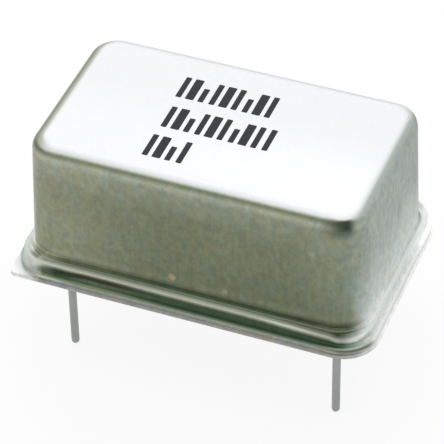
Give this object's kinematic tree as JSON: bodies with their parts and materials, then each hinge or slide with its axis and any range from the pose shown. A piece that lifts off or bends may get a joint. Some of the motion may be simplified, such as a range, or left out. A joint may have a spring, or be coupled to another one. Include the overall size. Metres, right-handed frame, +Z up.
{
  "type": "crystal oscillator",
  "caption": "Oven-controlled crystal oscillator in a drawn metal can on a flanged header with wire pins for a circuit board.",
  "frame": {"origin": "centre of the header's underside, which is the seating plane on the circuit board", "axes": "+X along the long side, from pin 1 to pin 7; +Y from pin 1 to pin 14, to the back; +Z up out of the board, with the can above zero and the pins below"},
  "size_m": [0.0202, 0.0126, 0.0147],
  "materials": {
    "nickel_steel": "matt nickel plate, drawn sheet",
    "pin_wire": "nickel-plated wire",
    "seal_glass": "opaque fused glass",
    "braze": "brazed fillet",
    "polyimide_film": "smooth film",
    "circuit_board": "solder mask",
    "solder": "bright solder",
    "chip_body": "moulded",
    "ferrite": "sintered",
    "resistor_ceramic": "glazed",
    "capacitor_ceramic": "sintered",
    "post_brass": "turned",
    "sensor_ceramic": "sintered",
    "copper": "rolled copper",
    "crystal_case_metal": "drawn nickel silver",
    "crystal_base_metal": "plated",
    "gilt_clip": "gold-plated spring",
    "quartz": "polished, with metal electrodes",
    "foam": "cut foam"
  },
  "bodies": {
    "root": {"header": "nickel_steel", "cover": "nickel_steel", "pin_1": "pin_wire", "pin_7": "pin_wire", "pin_8": "pin_wire", "pin_14": "pin_wire", "seal_1": "seal_glass", "seal_8": "seal_glass", "seal_14": "seal_glass", "ground_braze": "braze", "insulating_film": "polyimide_film", "base_board": "circuit_board", "pin_solder": "solder", "regulator": "chip_body", "oscillator_ic": "chip_body", "varactor": "chip_body", "tuning_coil": "ferrite", "chip_resistors": "resistor_ceramic", "chip_capacitors": "capacitor_ceramic", "oven_posts": "post_brass", "oven_board": "circuit_board", "control_ic": "chip_body", "heater_front": "chip_body", "heater_back": "chip_body", "thermistor": "sensor_ceramic", "heat_spreader": "copper", "crystal_case": "crystal_case_metal", "crystal_base": "crystal_base_metal", "crystal_beads": "seal_glass", "crystal_leads": "pin_wire", "blank_clips": "gilt_clip", "quartz_blank": "quartz", "foam_frame": "foam", "foam_lid": "foam"}
  },
  "joints": []
}
